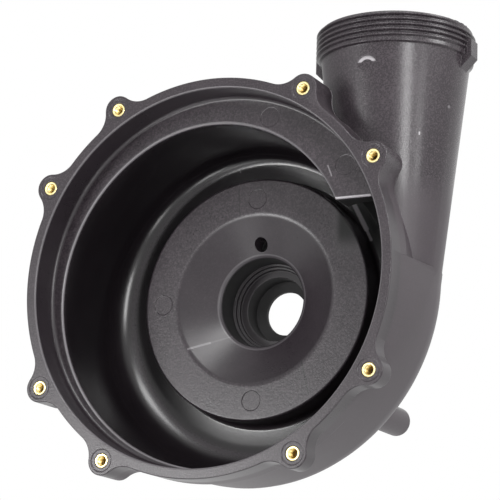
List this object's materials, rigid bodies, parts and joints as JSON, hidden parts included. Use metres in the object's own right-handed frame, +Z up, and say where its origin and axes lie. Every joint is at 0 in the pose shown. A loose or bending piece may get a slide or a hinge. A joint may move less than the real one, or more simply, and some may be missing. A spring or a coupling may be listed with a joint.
{
  "type": "volute pump casing",
  "caption": "Spiral casing of a centrifugal water pump, with an open cover flange, a centre disc with the shaft seal seat and a tapering threaded outlet.",
  "frame": {"origin": "centre of the cover flange's open face, on the pump axis", "axes": "+Y along the pump axis, from the open flange into the casing; +Z up, the way the outlet points; +X towards the side the outlet is on"},
  "size_m": [0.2105, 0.106, 0.217],
  "materials": {
    "casing": "satin moulded, glass-filled, near black",
    "insert": "turned, bright"
  },
  "bodies": {
    "root": {"volute_casing": "casing", "cover_insert_1": "insert", "cover_insert_2": "insert", "cover_insert_3": "insert", "cover_insert_4": "insert", "cover_insert_5": "insert", "cover_insert_6": "insert", "cover_insert_7": "insert", "cover_insert_8": "insert"}
  },
  "joints": []
}
